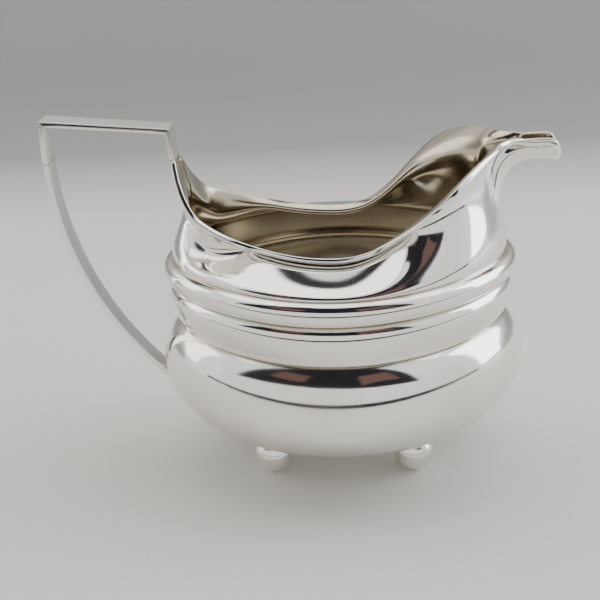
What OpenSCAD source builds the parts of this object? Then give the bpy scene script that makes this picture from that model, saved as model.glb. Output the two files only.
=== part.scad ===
// Oblong bellied cream jug on four ball feet, with an angular strap handle
// Units are millimetres, Z is up, the spout points along +X
// The origin is on the table, under the middle of the whole jug

/* [Body] */
// Length of the body over the bead moulding
body_l = 93.4; // [86:0.2:100]
// Width of the body over the bead moulding
body_w = 74.4; // [68:0.2:80]
// Thickness of the sheet the body is raised from
wall = 0.9; // [0.7:0.1:1.2]
// How much further the belly stands out than the bead
belly_out = 2.7; // [1.5:0.1:4]
// Height of the widest ring of the belly
belly_z = 30.5; // [28:0.5:33]

/* [Rim and spout] */
// Height of the rim at its lowest point, midway along the side
rim_low_z = 64.9; // [64:0.1:68]
// Width of the mouth midway along the side
mouth_w = 40.8; // [38:0.2:46]
// How far the lip of the spout reaches from the middle of the body
spout_reach = 57; // [54:0.5:60]
// Rise of the rim from its lowest point to the top of the spout
spout_rise = 24.2; // [20:0.1:26]
// Half the width of the lip at its narrowest
lip_waist = 2.9; // [2:0.1:4]
// Height of the thread wire below the rim edge
wire_h = 1.9; // [1.4:0.1:2.4]
// How far the thread wire stands out from the sheet
wire_out = 0.55; // [0.4:0.05:0.8]

/* [Handle] */
// Width of the strap at the top
strap_w = 7; // [6:0.5:9]
// Width of the strap where it meets the belly
strap_end_w = 5.6; // [5:0.2:7]
// Thickness of the strap
strap_t = 1.4; // [1.2:0.1:2]
// Height of the outer top corner of the handle
handle_top_z = 98.4; // [96:0.2:102]

/* [Feet] */
// Diameter of each ball foot
ball_d = 11; // [10.4:0.2:11.6]
// Distance between the feet along the jug
foot_gap_x = 38.6; // [34:0.2:40]
// Distance between the feet across the jug
foot_gap_y = 27; // [24:0.2:28]

/* [Hidden] */
// worn flat under each ball, and the underside of the base plate
foot_wear = 0.2;
plate_z = 9.6;
plate_t = 0.9;
belly_low = plate_z + plate_t;

// heights of the seams between the parts of the body
notch_z = 42.4;
groove_z = 53.8;
collar_z = 60.4;

// set-back of the body outline from the bead, at each seam
notch_in = -2.8;
groove_in = -3.3;
collar_in = -2.5;

// the handle's outer arc
arc_r = 89.9;
arc_x = 14.6;
arc_z = 87.1;
tongue_z = 87;
handle_reach = arc_r - arc_x;

// the body stands off the origin, so that the whole jug is centred
body_x = (handle_reach - spout_reach) / 2;

// points round the outline, closer together at the two ends
cols = 120;
angles = [for (j = [0 : cols - 1]) let (s = j * 360 / cols) s - 10 * sin(2 * s)];

silver = [0.93, 0.92, 0.89];
silver_warm = [0.86, 0.84, 0.78];

// ---- shapes of the outline ----

// an oval, pointed when k is above 0 and square-cornered when below
function oval(a, b, k, t) = [
    a * cos(t) * (1 - k * sin(t) * sin(t)),
    b * sin(t) * (1 - k * cos(t) * cos(t))];

function clamp(v) = max(0, min(1, v));

// a rise from 0 to 1 that starts and ends level
function ease(v) = let (c = clamp(v)) c * c * c * (10 - 15 * c + 6 * c * c);

// how pointed the body is at a height
function point_at(z) = 0.02 + 0.06 * clamp((z - belly_low) / (belly_z - belly_low));

// a point on the body, d further out than the bead
function body_point(d, z, t) = let (
    p = oval(body_l / 2 + d, body_w / 2 + d, point_at(z), t)) [p[0], p[1], z];

// ---- shapes of the upright sections, each a list of [set-out, height] ----

belly_round = belly_z - belly_low + 1.15;
belly_section = concat(
    [for (i = [0 : 8])
        let (h = belly_low + (belly_z - belly_low) * sin(i * 90 / 8))
        let (q = (belly_z - h) / belly_round)
        [belly_out - 26 * (1 - sqrt(1 - q * q)), h]],
    [for (i = [1 : 6])
        let (h = belly_z + (notch_z - belly_z) * sin(i * 90 / 6))
        let (q = (h - belly_z) / 13.5)
        let (s = (belly_out - notch_in) / 0.528)
        [belly_out - s * (1 - sqrt(1 - q * q)), h]]);

roll_top_z = 50.2;
roll_section = concat(
    [for (i = [0 : 5])
        let (q = 1 - i / 5)
        [-0.6 + (notch_in + 0.6) * pow(q, 1.5), roll_top_z - (roll_top_z - notch_z) * q]],
    [for (i = [1 : 4])
        [groove_in + (-0.6 - groove_in) * cos(i * 90 / 4),
         roll_top_z + (groove_z - roll_top_z) * sin(i * 90 / 4)]]);

bead_half = (collar_z - groove_z) / 2;
bead_section = [for (i = [-5 : 5])
    let (f = i * 90 / 5)
    let (base = groove_in + (collar_in - groove_in) * (i + 5) / 10)
    [base + 3.2 * cos(f), groove_z + bead_half * (1 + sin(f))]];

// ---- skins ----

// joins a grid of points, closed both ways, into one solid
module skin(grid) {
    rows = len(grid);
    n = len(grid[0]);
    polyhedron(
        points = [for (row = grid) each row],
        faces = [for (i = [0 : rows - 1]) for (j = [0 : n - 1])
            let (a = i * n + j)
            let (b = i * n + (j + 1) % n)
            let (c = (i + 1) % rows * n + (j + 1) % n)
            let (d = (i + 1) % rows * n + j)
            each [[a, c, b], [a, d, c]]],
        convexity = 10);
}

// a band of the body between two flat seams, hollow inside
module body_band(section, thick) {
    last = len(section) - 1;
    inner = [for (i = [last : -1 : 0]) [section[i][0] - thick, section[i][1]]];
    skin([for (p = concat(section, inner)) [for (t = angles) body_point(p[0], p[1], t)]]);
}

// ---- rim and collar ----

// the plain oval of the mouth, before the lip is drawn out
mouth_reach = 43;
tongue_reach = 42;
function mouth_point(t) = oval(cos(t) > 0 ? mouth_reach : tongue_reach, mouth_w / 2, -0.105, t);

// how far along the lip, from 0 where it leaves the mouth to 1 at its tip
function lip_way(t) = cos(t) > 0 ? 1 - min(1, abs(mouth_point(t)[1]) / 8) : 0;

// 1 along the sides of the lip, falling to 0 round its tip
function lip_side(s) = 1 - pow(max(0, s - 0.6) / 0.4, 2.3);

// the edge of the rim
function rim_point(t) = let (
    m = mouth_point(t),
    s = lip_way(t),
    side = lip_side(s),
    half = lip_waist + 0.4 * ease((s - 0.3) / 0.45),
    core = s > 0 ? (8 - lip_waist) * pow(1 - s, 8) + half * side : abs(m[1]),
    x = m[0] + (spout_reach - mouth_reach) * pow(sin(90 * min(1, s / 0.92)), 1.5),
    swell = 9.5 * exp(-pow((x - 26.5) / 11, 2)) * abs(sin(t)) / (abs(sin(t)) + 0.03),
    y = sign(sin(t)) * (core + swell),
    back = min(0, x),
    up = 9.6 * pow(max(0, (13 - abs(y)) / 9.5), 1.4),
    top = rim_low_z + spout_rise * ease((x + 1.6) / 47.6) + 0.5 * ease((x - 43) / 9),
    z = top - 6 * (1 - side * side) + 0.0075 * back * back)
    [x, y, cos(t) > 0 ? z : min(tongue_z, z + up)];

function unit(v) = v / norm(v);

// one upright curve of the collar: three handles, the lower edge of the wire, the rim
function collar_curve(t) = let (
    r = rim_point(t),
    spout = ease((r[0] - 2) / 40),
    tongue = ease((-r[0] - 16) / 24),
    flank = 1 - exp(-pow(r[1] / 9, 2)),
    lip = ease((r[0] - 45) / 8),
    foot = body_point(collar_in, collar_z, t),
    p1 = body_point(collar_in + 1, collar_z, t) + [0, 0, 3.3 + 3.4 * spout + 2.7 * tongue],
    throat = oval(cos(t) > 0 ? 35.5 : 36.5, 16.4, -0.105, t),
    plain_z = r[2] - 1.9 - 5.5 * spout * flank - 13 * tongue,
    p2 = [throat[0], throat[1], plain_z * (1 - lip) + 85.9 * lip],
    edge = unit(rim_point(t + 0.6) - rim_point(t - 0.6)),
    side = lip_side(lip_way(t)),
    way = unit(r - p2) * (1 - lip) + [1 - side, 0, side] * lip)
    [foot, p1, p2, r - wire_h * unit(way - (way * edge) * edge), r];

function along_curve(c, u) = let (v = 1 - u)
    v * v * v * c[0] + 3 * v * v * u * c[1] + 3 * v * u * u * c[2] + u * u * u * c[3];

curves = [for (t = angles) collar_curve(t)];
curves_before = [for (t = angles) collar_curve(t - 0.4)];
curves_after = [for (t = angles) collar_curve(t + 0.4)];

// the way out of the sheet, on curve j
function sheet_out(j, u) = let (
    along = along_curve(curves_after[j], u) - along_curve(curves_before[j], u),
    lift = along_curve(curves[j], min(1, u + 0.01)) - along_curve(curves[j], max(0, u - 0.01)))
    unit(cross(along, lift));

// the way out of the band under the wire
function band_out(j) = let (
    along = curves_after[j][3] + curves_after[j][4] - curves_before[j][3] - curves_before[j][4])
    unit(cross(along, curves[j][4] - curves[j][3]));

collar_rows = 12;

function collar_out(i, j) = i == collar_rows
    ? curves[j][4]
    : along_curve(curves[j], i / (collar_rows - 1));

function collar_inside(i, j) = i == 0
    ? body_point(collar_in - wall, collar_z, angles[j])
    : i == collar_rows
        ? curves[j][4] - wall * band_out(j)
        : collar_out(i, j) - wall * sheet_out(j, i / (collar_rows - 1));

// ---- parts ----

module plate_outline(grow) {
    polygon([for (t = angles) oval(body_l / 2 - 15.9 + grow, body_w / 2 - 15.9 + grow, 0, t)]);
}

module base_plate() {
    color(silver_warm)
        translate([body_x, 0, plate_z])
            linear_extrude(height = plate_t)
                plate_outline(0);
}

module belly() {
    color(silver)
        translate([body_x, 0, 0])
            body_band(belly_section, wall);
}

module lower_roll() {
    color(silver_warm)
        translate([body_x, 0, 0])
            body_band(roll_section, wall);
}

module bead() {
    edge = [groove_in - wall, collar_in - wall];
    inner = [[edge[1], collar_z], [edge[0], groove_z]];
    color(silver)
        translate([body_x, 0, 0])
            skin([for (p = concat(bead_section, inner))
                [for (t = angles) body_point(p[0], p[1], t)]]);
}

module collar() {
    color(silver)
        translate([body_x, 0, 0])
            skin(concat(
                [for (i = [0 : collar_rows]) [for (j = [0 : cols - 1]) collar_out(i, j)]],
                [for (i = [collar_rows : -1 : 0]) [for (j = [0 : cols - 1]) collar_inside(i, j)]]));
}

// a row of points on the wire: part of the way up the band, and standing out from it
function wire_row(part, out) = [for (j = [0 : cols - 1])
    curves[j][3] * (1 - part) + curves[j][4] * part + out * band_out(j)];

module rim_wire() {
    color(silver_warm)
        translate([body_x, 0, 0])
            skin([wire_row(0, 0), wire_row(0, wire_out * 0.75), wire_row(0.5, wire_out),
                  wire_row(1, wire_out * 0.75), wire_row(1, 0)]);
}

// ---- handle ----

// outer corners of the strap, in the upright plane through the jug
corner_x = -41.3;
corner_z = 95.3;
riser_x = -40.6;
grip_x = arc_x - sqrt(arc_r * arc_r - pow(handle_top_z - arc_z, 2));

// the inside corner of a mitre, where two edges of a strap meet
function mitre(p, before, after) = let (
    m = unit(unit(before) + unit(after)))
    p + m * strap_t / abs(m[0] * unit(before)[1] - m[1] * unit(before)[0]);

bar_corner = [corner_x, corner_z];
grip_corner = [grip_x, handle_top_z];
riser_foot = [riser_x, tongue_z];
arc_way = unit([-(arc_z - handle_top_z), grip_x - arc_x]);
bar_inside = mitre(bar_corner, riser_foot - bar_corner, grip_corner - bar_corner);
grip_inside = mitre(grip_corner, bar_corner - grip_corner, arc_way);

// a shape drawn in the upright plane, given a width across the jug
module upright(width) {
    translate([body_x, width / 2, 0])
        rotate([90, 0, 0])
            linear_extrude(height = width)
                children();
}

module handle_riser() {
    color(silver)
        upright(strap_w)
            polygon([riser_foot, bar_corner, bar_inside, [riser_x - strap_t - 0.1, tongue_z]]);
}

module handle_top_bar() {
    color(silver)
        upright(strap_w)
            polygon([bar_corner, grip_corner, grip_inside, bar_inside]);
}

module handle_sweep() {
    foot_z = 22;
    color(silver)
        intersection() {
            upright(strap_w + 2)
                difference() {
                    translate([arc_x, arc_z])
                        circle(r = arc_r, $fn = 200);
                    translate([arc_x, arc_z])
                        circle(r = arc_r - strap_t, $fn = 200);
                    polygon([grip_corner, grip_inside, grip_inside + 40 * (grip_inside - grip_corner),
                             [200, 40], [200, 220], [-120, 220], [-120, handle_top_z],
                             grip_corner + 4 * (grip_corner - grip_inside)]);
                    polygon([[-48.1, 25.4], [-47.1, 21.6], [-47.1, -20], [200, -20], [200, 80], [-48.1, 80]]);
                }
            translate([body_x - handle_reach - 5, 0, 0])
                rotate([90, 0, 90])
                    linear_extrude(height = 60)
                        polygon([[-strap_end_w / 2, foot_z - 2], [strap_end_w / 2, foot_z - 2],
                                 [strap_w / 2, handle_top_z + 3], [-strap_w / 2, handle_top_z + 3]]);
        }
}

// ---- feet ----

module ball_foot(sx, sy) {
    r = ball_d / 2;
    color(silver)
        translate([body_x + sx * foot_gap_x / 2, sy * foot_gap_y / 2, 0])
            intersection() {
                translate([0, 0, r - foot_wear])
                    sphere(r = r, $fn = 96);
                translate([-r - 1, -r - 1, 0])
                    cube([2 * r + 2, 2 * r + 2, plate_z]);
            }
}

module foot_front_spout() ball_foot(1, -1);

module foot_front_handle() ball_foot(-1, -1);

module foot_back_spout() ball_foot(1, 1);

module foot_back_handle() ball_foot(-1, 1);

base_plate();
belly();
lower_roll();
bead();
collar();
rim_wire();
handle_riser();
handle_top_bar();
handle_sweep();
foot_front_spout();
foot_front_handle();
foot_back_spout();
foot_back_handle();
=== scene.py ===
# %% [markdown]
# # A silver cream jug on four ball feet
# The jug is an oblong bellied one in the style of about 1810. The CAD model
# gives every part its place and size. This script builds each part again as a smooth,
# finely divided mesh, because polished silver is a mirror and a mirror shows every facet.

# %% Load the frame
import math
import bmesh
import bpy
from mathutils import Matrix, Vector


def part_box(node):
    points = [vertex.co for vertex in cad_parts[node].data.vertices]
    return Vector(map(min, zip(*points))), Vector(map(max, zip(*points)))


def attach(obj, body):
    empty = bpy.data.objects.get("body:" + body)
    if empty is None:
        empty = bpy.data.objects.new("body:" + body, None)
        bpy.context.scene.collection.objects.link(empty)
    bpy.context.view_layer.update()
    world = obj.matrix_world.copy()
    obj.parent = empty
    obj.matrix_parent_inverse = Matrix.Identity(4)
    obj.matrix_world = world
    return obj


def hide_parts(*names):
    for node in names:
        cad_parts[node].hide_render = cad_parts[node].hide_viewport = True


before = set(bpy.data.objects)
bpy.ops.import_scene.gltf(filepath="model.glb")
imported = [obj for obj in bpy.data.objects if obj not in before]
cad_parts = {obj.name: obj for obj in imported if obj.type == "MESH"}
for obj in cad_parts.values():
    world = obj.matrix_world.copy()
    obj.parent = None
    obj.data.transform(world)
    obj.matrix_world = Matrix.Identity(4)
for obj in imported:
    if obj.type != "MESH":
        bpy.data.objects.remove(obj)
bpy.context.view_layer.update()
print("nodes in the frame:", len(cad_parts))

# %% [markdown]
# The heights of the seams and the middle of the body come from the CAD boxes, so that the
# smooth parts meet where the real ones are soldered. Everything below is in metres.

# %% Measure the parts
MM = 0.001


def low(node, axis):
    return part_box(node)[0][axis]


def high(node, axis):
    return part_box(node)[1][axis]


BODY_X = (low("belly", 0) + high("belly", 0)) / 2
PLATE_Z = low("base_plate", 2)
BELLY_LOW = high("base_plate", 2)
NOTCH_Z = high("belly", 2)
GROOVE_Z = high("lower_roll", 2)
COLLAR_Z = high("bead", 2)
HALF_L = 46.7 * MM
HALF_W = 37.2 * MM
WALL = 0.9 * MM
print("seams at", [round(z / MM, 1) for z in (BELLY_LOW, NOTCH_Z, GROOVE_Z, COLLAR_Z)], "mm")

# %% [markdown]
# Every ring of the body is the same oval, a little more pointed at the ends than an
# ellipse, let out or taken in by a few millimetres. One function gives a point of that
# oval, and another puts it at its height.

# %% The oval of the body
BELLY_Z = 30.5 * MM


def oval(a, b, point, t):
    c, s = math.cos(t), math.sin(t)
    return a * c * (1 - point * s * s), b * s * (1 - point * c * c)


def clamp(v):
    return max(0.0, min(1.0, v))


def ease(v):
    c = clamp(v)
    return c * c * c * (10 - 15 * c + 6 * c * c)


def body_point(out, z, t):
    point = 0.02 + 0.06 * clamp((z - BELLY_LOW) / (BELLY_Z - BELLY_LOW))
    x, y = oval(HALF_L + out, HALF_W + out, point, t)
    return Vector((BODY_X + x, y, z))


print("bead oval:", round(2 * HALF_L / MM, 1), "by", round(2 * HALF_W / MM, 1), "mm")

# %% [markdown]
# A hollow band of the body is one closed skin: up the outside, over the edge, down the
# inside and round underneath. The grid operator makes the quads, a function lays each
# corner in its place, and merging by distance closes the seams both ways. The faces
# are then turned outwards together.

# %% A closed skin from a grid
COLS = 288


def new_piece(name, bm, node):
    mesh = bpy.data.meshes.new(name)
    bmesh.ops.recalc_face_normals(bm, faces=bm.faces)
    bm.to_mesh(mesh)
    bm.free()
    mesh.shade_smooth()
    mesh.set_sharp_from_angle(angle=math.radians(50))
    piece = bpy.data.objects.new(name, mesh)
    bpy.context.scene.collection.objects.link(piece)
    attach(piece, "root")
    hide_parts(node)
    print(name, "has", len(mesh.polygons), "faces")
    return piece


def turn_of(j):
    turn = 2 * math.pi * (j % COLS) / COLS
    return turn - 0.175 * math.sin(2 * turn)


def skin_mesh(rows, place, is_inside):
    bm = bmesh.new()
    layer = bm.verts.layers.float.new("inside")
    bmesh.ops.create_grid(bm, x_segments=COLS, y_segments=rows, size=1.0)
    for v in bm.verts:
        j = round((v.co.x + 1) / 2 * COLS) % COLS
        i = round((v.co.y + 1) / 2 * rows) % rows
        v.co = place(i, j)
        v[layer] = 1.0 if is_inside(i) else 0.0
    bmesh.ops.remove_doubles(bm, verts=bm.verts, dist=1e-8)
    return bm


def band(name, node, outer, inner):
    section = outer + inner
    bm = skin_mesh(len(section), lambda i, j: body_point(*section[i], turn_of(j)),
                   lambda i: i >= len(outer))
    return new_piece(name, bm, node)


def thick_band(name, node, outer):
    return band(name, node, outer, [(out - WALL, z) for out, z in reversed(outer)])

# %% [markdown]
# The belly is the lower bowl. It is hammered out of sheet over a stake, so its section is
# one full curve: almost a quarter circle under the widest ring, and a flatter sweep above
# it that turns in to the notch.

# %% Belly
BELLY_OUT = 2.7 * MM
NOTCH_IN = -2.8 * MM
UNDER_WIDTH = 26 * MM  # width of the full curve under the widest ring
UNDER_SPARE = 1.15 * MM  # how far that curve would run on below the plate
OVER_HEIGHT = 13.5 * MM  # height of the full curve above the widest ring
OVER_SHARE = 0.528  # share of its width that the upper curve has turned in by the notch


def belly_section():
    depth = BELLY_Z - BELLY_LOW
    full = depth + UNDER_SPARE
    rows = []
    for i in range(41):
        z = BELLY_LOW + depth * math.sin(i * math.pi / 80)
        q = (BELLY_Z - z) / full
        rows.append((BELLY_OUT - UNDER_WIDTH * (1 - math.sqrt(1 - q * q)), z))
    for i in range(1, 25):
        z = BELLY_Z + (NOTCH_Z - BELLY_Z) * math.sin(i * math.pi / 48)
        q = (z - BELLY_Z) / OVER_HEIGHT
        turned = (BELLY_OUT - NOTCH_IN) / OVER_SHARE * (1 - math.sqrt(1 - q * q))
        rows.append((BELLY_OUT - turned, z))
    return rows


belly = thick_band("belly_bowl", "belly", belly_section())

# %% [markdown]
# Above the notch a plain roll tapers up and outwards, like the edge of a cushion, and
# turns over into the groove under the bead. It is a separate strip, drawn through a
# shaped block and soldered on.

# %% Lower roll
GROOVE_IN = -3.3 * MM
ROLL_OUT = -0.6 * MM
ROLL_TOP = 50.2 * MM


def roll_section():
    rows = []
    for i in range(21):
        q = 1 - i / 20
        rows.append((ROLL_OUT + (NOTCH_IN - ROLL_OUT) * q ** 1.5,
                     ROLL_TOP - (ROLL_TOP - NOTCH_Z) * q))
    for i in range(1, 13):
        a = i * math.pi / 24
        rows.append((GROOVE_IN + (ROLL_OUT - GROOVE_IN) * math.cos(a),
                     ROLL_TOP + (GROOVE_Z - ROLL_TOP) * math.sin(a)))
    return rows


roll = thick_band("girdle_roll", "lower_roll", roll_section())

# %% [markdown]
# The bead is a half-round moulding that covers the joint between the bowl and the collar
# and stiffens the body.

# %% Bead
COLLAR_IN = -2.5 * MM
BEAD_PROUD = 3.2 * MM


def bead_section():
    half = (COLLAR_Z - GROOVE_Z) / 2
    rows = []
    for i in range(33):
        a = (i / 16 - 1) * math.pi / 2
        base = GROOVE_IN + (COLLAR_IN - GROOVE_IN) * i / 32
        rows.append((base + BEAD_PROUD * math.cos(a), GROOVE_Z + half * (1 + math.sin(a))))
    return rows


bead = band("girdle_bead", "bead", bead_section(),
            [(COLLAR_IN - WALL, COLLAR_Z), (GROOVE_IN - WALL, GROOVE_Z)])

# %% [markdown]
# The collar closes in over the shoulder to a narrow neck and flares out again to the rim.
# At one end the rim is drawn out into the pouring lip, and at the other it climbs into a
# tongue that carries the handle. One curve per column, from the bead to the rim, gives
# the whole surface.

# %% The line of the rim
RIM_LOW = 64.9
MOUTH_HALF_W = 20.4
SPOUT_REACH = 57.0
SPOUT_RISE = 24.2
LIP_WAIST = 2.9
MOUTH_REACH, TONGUE_REACH = 43, 42  # ends of the plain mouth, before the lip is drawn out
MOUTH_POINT = -0.105  # below 0 the oval is squarer than an ellipse
LIP_FROM = 8  # the lip starts where the mouth is this far from the middle
TONGUE_Z = low("handle_riser", 2) / MM


def lip_way(t):
    front = math.cos(t) > 0
    y = oval(MOUTH_REACH, MOUTH_HALF_W, MOUTH_POINT, t)[1]
    return 1 - min(1, abs(y) / LIP_FROM) if front else 0


def lip_side(s):
    return 1 - (max(0, s - 0.6) / 0.4) ** 2.3


def rim_point(t):
    front = math.cos(t) > 0
    mx, my = oval(MOUTH_REACH if front else TONGUE_REACH, MOUTH_HALF_W, MOUTH_POINT, t)
    s = lip_way(t)
    side = lip_side(s)
    half = LIP_WAIST + 0.4 * ease((s - 0.3) / 0.45)
    core = (LIP_FROM - LIP_WAIST) * (1 - s) ** 8 + half * side if s > 0 else abs(my)
    x = mx + (SPOUT_REACH - MOUTH_REACH) * math.sin(math.pi / 2 * min(1, s / 0.92)) ** 1.5
    across = math.sin(t)
    swell = 9.5 * math.exp(-((x - 26.5) / 11) ** 2) * abs(across) / (abs(across) + 0.03)
    y = math.copysign(core + swell, across)
    z = RIM_LOW + SPOUT_RISE * ease((x + 1.6) / 47.6) + 0.5 * ease((x - MOUTH_REACH) / 9)
    z += 0.0075 * min(0, x) ** 2 - 6 * (1 - side * side)
    if not front:
        z = min(TONGUE_Z, z + 9.6 * max(0, (13 - abs(y)) / 9.5) ** 1.4)
    return Vector((BODY_X + x * MM, y * MM, z * MM))


print("lip at", [round(c / MM, 1) for c in rim_point(0)], "mm")

# %% [markdown]
# Each column of the collar is a curve with two handles between the bead and the rim, and a
# short straight band at the top that carries the wire. The band stands square to the edge
# of the rim, even where the edge turns down round the lip.

# %% The curves of the collar
WIRE_H = 1.9 * MM


def collar_curve(t):
    r = rim_point(t)
    x = (r.x - BODY_X) / MM
    spout, tongue, lip = ease((x - 2) / 40), ease((-x - 16) / 24), ease((x - 45) / 8)
    flank = 1 - math.exp(-(r.y / (9 * MM)) ** 2)
    foot = body_point(COLLAR_IN, COLLAR_Z, t)
    p1 = body_point(COLLAR_IN + 1.0 * MM, COLLAR_Z, t)
    p1.z += (3.3 + 3.4 * spout + 2.7 * tongue) * MM
    tx, ty = oval((35.5 if math.cos(t) > 0 else 36.5) * MM, 16.4 * MM, MOUTH_POINT, t)
    plain_z = r.z - (1.9 + 5.5 * spout * flank + 13 * tongue) * MM
    p2 = Vector((BODY_X + tx, ty, plain_z * (1 - lip) + 85.9 * MM * lip))
    edge = (rim_point(t + 0.01) - rim_point(t - 0.01)).normalized()
    side = lip_side(lip_way(t))
    way = (r - p2).normalized() * (1 - lip) + Vector((1 - side, 0, side)) * lip
    way = (way - way.dot(edge) * edge).normalized()
    return foot, p1, p2, r - WIRE_H * way, r


def along_curve(c, u):
    v = 1 - u
    return v ** 3 * c[0] + 3 * v * v * u * c[1] + 3 * v * u * u * c[2] + u ** 3 * c[3]


curves = [collar_curve(turn_of(j)) for j in range(COLS)]
print("collar drawn with", len(curves), "curves")


def sheet_out(j, u):
    along = along_curve(curves[(j + 1) % COLS], u) - along_curve(curves[j - 1], u)
    lift = along_curve(curves[j], min(1, u + 0.01)) - along_curve(curves[j], max(0, u - 0.01))
    return along.cross(lift).normalized()


def band_out(j):
    after, before = curves[(j + 1) % COLS], curves[j - 1]
    along = after[3] + after[4] - before[3] - before[4]
    return along.cross(curves[j][4] - curves[j][3]).normalized()

# %% [markdown]
# The collar is one sheet, so its inside is its outside set in by the thickness of the
# silver. The inner edge of the rim is rounded, which gives the mouth its thin bright line.

# %% Collar
COLLAR_ROWS = 60
EDGE = 0.35 * MM
BACK_ROWS = 2 * COLLAR_ROWS + 6


def collar_place(i, j):
    low_edge, rim = curves[j][3], curves[j][4]
    lift = (rim - low_edge).normalized()
    out = band_out(j)
    if i <= COLLAR_ROWS:
        return along_curve(curves[j], i / COLLAR_ROWS)
    if i == COLLAR_ROWS + 1:
        return rim.copy()
    if i <= COLLAR_ROWS + 5:
        a = (i - COLLAR_ROWS - 2) * math.pi / 6
        centre = rim - (WALL - EDGE) * out - EDGE * lift
        return centre - EDGE * math.sin(a) * out + EDGE * math.cos(a) * lift
    u = (BACK_ROWS - i) / COLLAR_ROWS
    if u <= 0:
        return body_point(COLLAR_IN - WALL, COLLAR_Z, turn_of(j))
    return along_curve(curves[j], u) - WALL * sheet_out(j, u)


collar_skin = skin_mesh(BACK_ROWS + 1, collar_place, lambda i: i > COLLAR_ROWS + 4)
collar = new_piece("collar_and_lip", collar_skin, "collar")

# %% [markdown]
# A thin half-round wire is soldered round the outside of the rim, so that the thin sheet
# does not bend or cut. It shows as a bright thread with a fine dark line under it.

# %% Rim wire
WIRE_OUT = 0.55 * MM
WIRE_ROWS = 12


def wire_place(i, j):
    low_edge, rim = curves[j][3], curves[j][4]
    out = band_out(j)
    if i > WIRE_ROWS:
        part = 1 - (i - WIRE_ROWS) / 3
        return low_edge.lerp(rim, part) - 0.05 * MM * out
    a = math.pi * i / WIRE_ROWS
    return low_edge.lerp(rim, (1 - math.cos(a)) / 2) + WIRE_OUT * math.sin(a) ** 0.7 * out


rim_wire = new_piece("rim_thread", skin_mesh(WIRE_ROWS + 3, wire_place, lambda i: False),
                     "rim_wire")

# %% [markdown]
# The handle is a flat strap with softened edges: a short riser on the tongue of the rim,
# a long bar for the thumb, and a curved piece that sweeps down to the belly. The three
# meet in mitred corners. Each is drawn as stations along the strap, with the outer
# edge, the inner edge and the width at every station.

# %% Handle
ARC_R, ARC_X, ARC_Z = 89.9 * MM, 14.6 * MM, 87.1 * MM
STRAP_T, STRAP_W, STRAP_END_W = 1.4 * MM, 7.0 * MM, 5.6 * MM
TOP_Z = high("handle_sweep", 2)
ROUND = 0.2 * MM


def flat(x, z):
    return Vector((x, z))


def mitre(p, before, after):
    b = before.normalized()
    m = (b + after.normalized()).normalized()
    return p + m * STRAP_T / abs(m.x * b.y - m.y * b.x)


def section_corner(turn, width):
    """A point round the strap's section: across, and through the thickness from 0 to STRAP_T."""
    quarter, part = divmod(turn, 1.0)
    a = math.pi / 2 * (quarter + part)
    cx = (width / 2 - ROUND) * (1 if quarter in (0, 3) else -1)
    cz = (STRAP_T / 2 - ROUND) * (1 if quarter in (0, 1) else -1)
    return cx + ROUND * math.cos(a), STRAP_T / 2 - (cz + ROUND * math.sin(a))


ROUNDNESS = 6
TURNS = [q + k / ROUNDNESS * 0.9999 for q in range(4) for k in range(ROUNDNESS + 1)]


def strap(name, node, stations):
    bm = bmesh.new()
    across, along = len(TURNS), len(stations) - 1
    bmesh.ops.create_grid(bm, x_segments=across, y_segments=along, size=1.0)
    for v in bm.verts:
        j = round((v.co.x + 1) / 2 * across) % across
        outer, inner, width = stations[round((v.co.y + 1) / 2 * along)]
        y, depth = section_corner(TURNS[j], width)
        p = outer.lerp(inner, depth / STRAP_T)
        v.co = Vector((BODY_X + p.x, y, p.y))
    bmesh.ops.remove_doubles(bm, verts=bm.verts, dist=1e-8)
    bmesh.ops.holes_fill(bm, edges=[e for e in bm.edges if e.is_boundary], sides=0)
    return new_piece(name, bm, node)


riser_foot, bar_corner = flat(-40.6 * MM, TONGUE_Z * MM), flat(-41.3 * MM, 95.3 * MM)
grip_corner = flat(ARC_X - math.sqrt(ARC_R ** 2 - (TOP_Z - ARC_Z) ** 2), TOP_Z)
arc_way = flat(TOP_Z - ARC_Z, grip_corner.x - ARC_X)
bar_inside = mitre(bar_corner, riser_foot - bar_corner, grip_corner - bar_corner)
grip_inside = mitre(grip_corner, bar_corner - grip_corner, arc_way)


def strap_width(z):
    return STRAP_END_W + (STRAP_W - STRAP_END_W) * (z - 20 * MM) / (81.4 * MM)


def arc_point(r, angle):
    return flat(ARC_X - r * math.cos(angle), ARC_Z - r * math.sin(angle))


def sweep_stations(count=64):
    start_out = math.asin((ARC_Z - grip_corner.y) / ARC_R)
    start_in = math.asin((ARC_Z - grip_inside.y) / (ARC_R - STRAP_T))
    end_out = math.asin((ARC_Z - 22.2 * MM) / ARC_R)
    end_in = math.asin((ARC_Z - 24.6 * MM) / (ARC_R - STRAP_T))
    rows = []
    for k in range(count + 1):
        part = k / count
        outer = arc_point(ARC_R, start_out + (end_out - start_out) * part)
        inner = arc_point(ARC_R - STRAP_T, start_in + (end_in - start_in) * part)
        rows.append((outer, inner, strap_width((outer.y + inner.y) / 2)))
    return rows


top_w = strap_width(97 * MM)
riser = strap("handle_riser_strap", "handle_riser",
              [(riser_foot, riser_foot - flat(STRAP_T + 0.1 * MM, 0), top_w),
               (bar_corner, bar_inside, top_w)])
bar = strap("handle_bar_strap", "handle_top_bar",
            [(bar_corner.lerp(grip_corner, k / 8), bar_inside.lerp(grip_inside, k / 8), top_w)
             for k in range(9)])
sweep = strap("handle_sweep_strap", "handle_sweep", sweep_stations())
print("bar", round((bar_corner - grip_corner).length / MM, 1), "mm long")

# %% [markdown]
# A flat oval plate closes the bottom of the bowl. Its lower edge is eased, and the middle
# of the underside is dished a little.

# %% Base plate
PLATE_IN = 15.9 * MM


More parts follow.
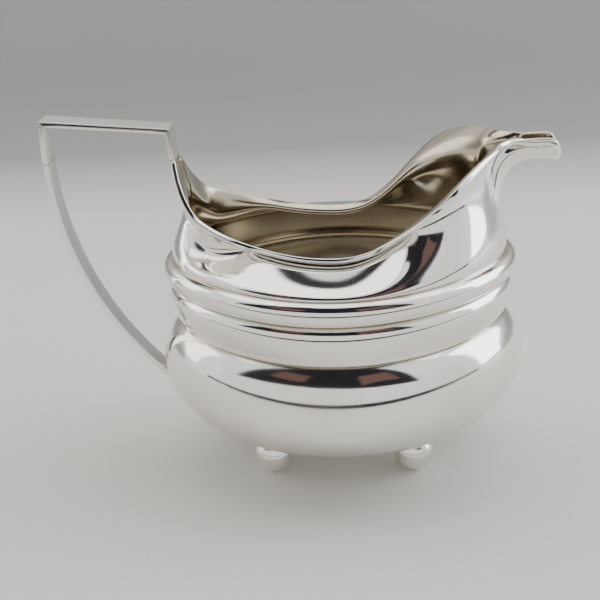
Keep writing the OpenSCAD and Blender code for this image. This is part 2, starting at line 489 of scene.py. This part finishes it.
def base_plate():
    bm = bmesh.new()
    bmesh.ops.create_circle(bm, cap_ends=True, segments=COLS, radius=1.0)
    for v in bm.verts:
        t = math.atan2(v.co.y, v.co.x)
        x, y = oval(HALF_L - PLATE_IN, HALF_W - PLATE_IN, 0, t)
        v.co = Vector((BODY_X + x, y, PLATE_Z))
    top = bmesh.ops.extrude_face_region(bm, geom=bm.faces[:])["geom"]
    moved = [g for g in top if isinstance(g, bmesh.types.BMVert)]
    bmesh.ops.translate(bm, verts=moved, vec=(0, 0, BELLY_LOW - PLATE_Z))
    bm.normal_update()
    bottom = min(bm.faces, key=lambda f: f.calc_center_median().z)
    bmesh.ops.bevel(bm, geom=bottom.edges[:], offset=0.3 * MM, segments=4, profile=0.5,
                    affect="EDGES", clamp_overlap=True, material=-1)
    bottom = min((f for f in bm.faces if len(f.verts) > 10), key=lambda f: f.calc_center_median().z)
    bmesh.ops.inset_region(bm, faces=[bottom], thickness=5 * MM, depth=0)
    bmesh.ops.inset_region(bm, faces=[bottom], thickness=2.5 * MM, depth=-0.25 * MM)
    return new_piece("base_disc", bm, "base_plate")


plate = base_plate()

# %% [markdown]
# Four balls carry the jug. Each is turned from a profile: worn flat underneath, round
# to the top, with a little fillet of solder where it meets the plate.

# %% Ball feet
BALL_R = 5.5 * MM
BALL_Z = 5.3 * MM


def ball_profile():
    rows = [(0.0, 0.0), (1.2 * MM, 0.0)]
    start = math.asin(-BALL_Z / BALL_R) + 0.02
    end = math.asin((9.0 * MM - BALL_Z) / BALL_R)
    for k in range(49):
        a = start + (end - start) * k / 48
        rows.append((BALL_R * math.cos(a), BALL_Z + BALL_R * math.sin(a)))
    rows += [(4.02 * MM, 9.15 * MM), (4.08 * MM, 9.32 * MM), (4.28 * MM, 9.48 * MM)]
    rows.append((4.5 * MM, PLATE_Z))
    return rows + [(0.0, PLATE_Z)]


def ball_foot(name, node):
    cx = (low(node, 0) + high(node, 0)) / 2
    cy = (low(node, 1) + high(node, 1)) / 2
    bm = bmesh.new()
    chain = [bm.verts.new((cx + r, cy, z)) for r, z in ball_profile()]
    edges = [bm.edges.new(pair) for pair in zip(chain, chain[1:])]
    bmesh.ops.spin(bm, geom=chain + edges, cent=(cx, cy, 0), axis=(0, 0, 1), dvec=(0, 0, 0),
                   angle=2 * math.pi, steps=96, use_merge=True, use_duplicate=False)
    bmesh.ops.remove_doubles(bm, verts=bm.verts, dist=1e-7)
    return new_piece(name, bm, node)


feet = [ball_foot("ball_" + side, "foot_" + side)
        for side in ("front_spout", "front_handle", "back_spout", "back_handle")]

# %% [markdown]
# The finish is old hand-polished silver: a mirror, but a soft one. Fine hairlines run in
# every direction, the sheet still carries the faint waves of the hammer, and a warm film of
# tarnish stays where the polishing cloth does not reach: in the two grooves, under the
# bead and over the whole inside.

# %% A small language for shader maths
class Tone:
    """One number of a shader, with arithmetic that makes the nodes."""

    def __init__(self, tree, socket):
        self.tree, self.socket = tree, socket

    def node(self, kind, settings=None, inputs=None, output=0):
        node = self.tree.nodes.new(kind)
        for key, value in (settings or {}).items():
            setattr(node, key, value)
        for key, value in (inputs or {}).items():
            if isinstance(value, Tone):
                self.tree.links.new(value.socket, node.inputs[key])
            else:
                node.inputs[key].default_value = value
        return Tone(self.tree, node.outputs[output])

    def math(self, operation, *values, clamp=False):
        settings = {"operation": operation, "use_clamp": clamp}
        return self.node("ShaderNodeMath", settings, dict(enumerate(values)))

    def __add__(self, other):
        return self.math("ADD", self, other)

    def __sub__(self, other):
        return self.math("SUBTRACT", self, other)

    def __mul__(self, other):
        return self.math("MULTIPLY", self, other)

    def __truediv__(self, other):
        return self.math("DIVIDE", self, other)

    def __rsub__(self, other):
        return self.math("SUBTRACT", other, self)

    __radd__ = __add__
    __rmul__ = __mul__

    def clamp(self):
        return self.math("ADD", self, 0.0, clamp=True)

    def blend(self, low_colour, high_colour):
        settings = {"data_type": "RGBA", "blend_type": "MIX"}
        return self.node("ShaderNodeMix", settings, {0: self, 6: low_colour, 7: high_colour}, 2)


def new_material(name):
    material = bpy.data.materials.new(name)
    material.use_nodes = True
    shader = material.node_tree.nodes["Principled BSDF"]
    return material, shader, Tone(material.node_tree, None)


def connect(shader, name, tone):
    tone.tree.links.new(tone.socket, shader.inputs[name])


def put_on(material, pieces):
    for piece in pieces:
        piece.data.materials.clear()
        piece.data.materials.append(material)
    print(material.name, "on", ", ".join(p.name for p in pieces))

# %% [markdown]
# Three colours make the silver: clean metal, the warm film over it, and the deep brown that
# settles in the seams and on the inside. The film comes and goes in soft clouds.

# %% Old polished silver
CLEAN = (0.955, 0.94, 0.905, 1)
WARM = (0.80, 0.74, 0.62, 1)
DEEP = (0.36, 0.30, 0.20, 1)


def old_silver(name, seams, rough, waves):
    material, shader, t = new_material(name)
    place = t.node("ShaderNodeTexCoord", output=3)
    height = t.node("ShaderNodeSeparateXYZ", inputs={0: place}, output=2)

    def noise(scale, detail, stretch=(1, 1, 1)):
        at = t.node("ShaderNodeVectorMath", {"operation": "MULTIPLY"}, {0: place, 1: stretch})
        return t.node("ShaderNodeTexNoise", inputs={"Vector": at, "Scale": scale, "Detail": detail})

    cloud = noise(45, 4)
    film = ((cloud - 0.42) * 2.2).clamp()
    groove = film * 0.12
    for z, spread in seams:
        far = (height - z) / spread
        groove = groove + t.math("EXPONENT", far * far * -1) * (film * 0.5 + 0.5)
    inside = t.node("ShaderNodeAttribute", {"attribute_name": "inside"}, output=2)
    dull = (groove + inside * 0.85).clamp()
    colour = (film * 0.35 + inside * 0.65).clamp().blend(CLEAN, WARM)
    connect(shader, "Base Color", (groove * 0.9 + inside * 0.6).clamp().blend(colour, DEEP))
    connect(shader, "Roughness", rough + film * 0.05 + dull * 0.10)
    hair = noise(900, 3, (1, 1, 0.12)) + noise(1100, 2, (0.1, 1, 1))
    ripple = t.node("ShaderNodeBump", inputs={
        "Strength": waves, "Distance": 1.5 * MM, "Height": noise(38, 1)})
    fine = t.node("ShaderNodeBump", inputs={
        "Strength": 0.05, "Distance": 0.06 * MM, "Height": hair, "Normal": ripple})
    connect(shader, "Normal", fine)
    shader.inputs["Metallic"].default_value = 1.0
    return material


seams = [(NOTCH_Z, 0.45 * MM), (GROOVE_Z, 0.4 * MM), (COLLAR_Z, 0.3 * MM)]
put_on(old_silver("silver_sheet", seams, 0.085, 0.05), [belly, roll, bead, collar, plate])
put_on(old_silver("silver_wire_finish", [], 0.12, 0.0), [rim_wire])
strap_silver = old_silver("silver_strap_finish", [(TONGUE_Z * MM, 0.3 * MM)], 0.11, 0.03)
put_on(strap_silver, [riser, bar, sweep])
put_on(old_silver("silver_ball_finish", [(PLATE_Z, 0.4 * MM)], 0.12, 0.02), feet)

# %% [markdown]
# The jug stands on a pale cloth that runs back and rises into a plain grey backdrop. The
# backdrop is low, so that the collar still mirrors the room behind it.

# %% Floor and backdrop
def staged(name, bm, material):
    mesh = bpy.data.meshes.new(name)
    bm.to_mesh(mesh)
    bm.free()
    mesh.shade_smooth()
    mesh.materials.append(material)
    thing = bpy.data.objects.new(name, mesh)
    bpy.context.scene.collection.objects.link(thing)
    return thing


CLOTH = (0.80, 0.79, 0.755, 1)
BACKDROP = (0.40, 0.405, 0.412, 1)
FLOOR_END, BEND, BEND_R = 0.19, 0.09, 0.06  # where the cloth turns up, and how softly


def cloth_material():
    material, shader, t = new_material("pale_cloth")
    place = t.node("ShaderNodeTexCoord", output=3)
    depth = t.node("ShaderNodeSeparateXYZ", inputs={0: place}, output=2)
    back = (depth / 0.02).clamp() - ((depth - 0.11) / 0.05).clamp() * 0.9
    connect(shader, "Base Color", back.blend(CLOTH, BACKDROP))
    soft = t.node("ShaderNodeTexNoise", inputs={"Vector": place, "Scale": 9, "Detail": 3})
    connect(shader, "Normal", t.node("ShaderNodeBump", inputs={"Strength": 0.25, "Distance": 0.01,
                                                               "Height": soft}))
    shader.inputs["Roughness"].default_value = 0.9
    return material


def sweep_floor():
    bm = bmesh.new()
    bmesh.ops.create_grid(bm, x_segments=8, y_segments=60, size=1.0)
    for v in bm.verts:
        run = (v.co.y + 1) * 0.405 - 0.345
        rise = max(0.0, run - FLOOR_END)
        turn = min(rise, BEND) / BEND * math.pi / 2
        above = max(0, rise - BEND)
        y = min(run, FLOOR_END) + BEND_R * math.sin(turn) + above * 0.25
        z = BEND_R * (1 - math.cos(turn)) + above
        v.co = Vector((v.co.x * 1.1, y, z))
    return staged("cloth", bm, cloth_material())


cloth = sweep_floor()
print("backdrop rises to", round(max(v.co.z for v in cloth.data.vertices), 2), "m")

# %% [markdown]
# The room is made of soft panels on a dome round the jug: bright ones above and at the
# sides, and dim ones where a room is dim. A mirror finish is only as good as what it mirrors.

# %% Panels of the room
def glow(name, colour, strength):
    material, shader, _ = new_material(name)
    shader.inputs["Base Color"].default_value = (0, 0, 0, 1)
    shader.inputs["Roughness"].default_value = 1.0
    shader.inputs["Specular IOR Level"].default_value = 0.0
    shader.inputs["Emission Color"].default_value = colour
    shader.inputs["Emission Strength"].default_value = strength
    return material


def panel(name, az, el, material, droop=0.0, radius=1.2):
    """Part of a dome: az from the front, positive to the spout side, el above the table."""
    bm = bmesh.new()
    bmesh.ops.create_grid(bm, x_segments=24, y_segments=12, size=1.0)
    for v in bm.verts:
        a = math.radians(az[0] + (az[1] - az[0]) * (v.co.x + 1) / 2)
        low_el = el[0] - droop * v.co.x ** 2
        e = math.radians(low_el + (el[1] - low_el) * (v.co.y + 1) / 2)
        v.co = radius * Vector((math.sin(a) * math.cos(e), -math.cos(a) * math.cos(e), math.sin(e)))
    return staged(name, bm, material)


dim = glow("dim_panel", (0.022, 0.021, 0.026, 1), 1.0)
rosy = glow("rosy_panel", (0.165, 0.095, 0.085, 1), 1.0)
white = glow("ceiling_panel", (1.0, 0.98, 0.94, 1), 2.4)
panel("front_dim", (-67, 50), (33, 77), dim, droop=10)
panel("front_rosy_left", (-54, -28), (42, 58), rosy, radius=1.12)
panel("front_rosy_right", (16, 42), (40, 58), rosy, droop=4, radius=1.12)
panel("back_dim", (116, 244), (38.5, 48), dim)
panel("back_rosy", (124, 158), (39.5, 43), rosy, radius=1.12)
panel("ceiling", (80, 280), (50, 89), white, radius=1.25)
front_light = glow("front_panel", (0.80, 0.79, 0.76, 1), 1.3)
panel("front_low", (-75, 75), (3, 30), front_light, radius=1.25)
panel("front_table_dim", (-82, 82), (-40, 2.5), dim)
panel("window", (84, 122), (4, 46), glow("window_panel", (0.90, 0.96, 1.0, 1), 4.5))
panel("left_light", (-126, -92), (8, 40), glow("left_panel", (1.0, 0.98, 0.93, 1), 2.6))

world = bpy.data.worlds.new("room")
bpy.context.scene.world = world
world.use_nodes = True
world.node_tree.nodes["Background"].inputs[0].default_value = (0.50, 0.51, 0.52, 1)
world.node_tree.nodes["Background"].inputs[1].default_value = 2.2

# %% [markdown]
# The camera looks down on the near side of the jug, a little from the spout end and a
# little tilted, close enough for the mouth to open towards it.

# %% Camera
TURN, HEIGHT, TILT = (math.radians(a) for a in (4.55, 24.82, -3.23))
DIST = 280.13 * MM
LENS = 61.3518  # millimetres, for a sensor 36 mm wide
TARGET = Vector((BODY_X - 10.91 * MM, 0, 45.35 * MM))
back = Vector((math.sin(TURN) * math.cos(HEIGHT), -math.cos(TURN) * math.cos(HEIGHT),
               math.sin(HEIGHT)))
level = (-back).cross(Vector((0, 0, 1))).normalized()
up = level.cross(-back)
R = level * math.cos(TILT) + up * math.sin(TILT)
U = -level * math.sin(TILT) + up * math.cos(TILT)
cam_data = bpy.data.cameras.new("camera")
cam_data.sensor_width = 36
cam_data.lens = LENS
cam_data.clip_start = 0.01
camera = bpy.data.objects.new("camera", cam_data)
bpy.context.scene.collection.objects.link(camera)
camera.matrix_world = Matrix((
    (R.x, U.x, back.x, TARGET.x + back.x * DIST),
    (R.y, U.y, back.y, TARGET.y + back.y * DIST),
    (R.z, U.z, back.z, TARGET.z + back.z * DIST),
    (0, 0, 0, 1)))
bpy.context.scene.camera = camera
print("camera", round(DIST / MM), "mm from its target")
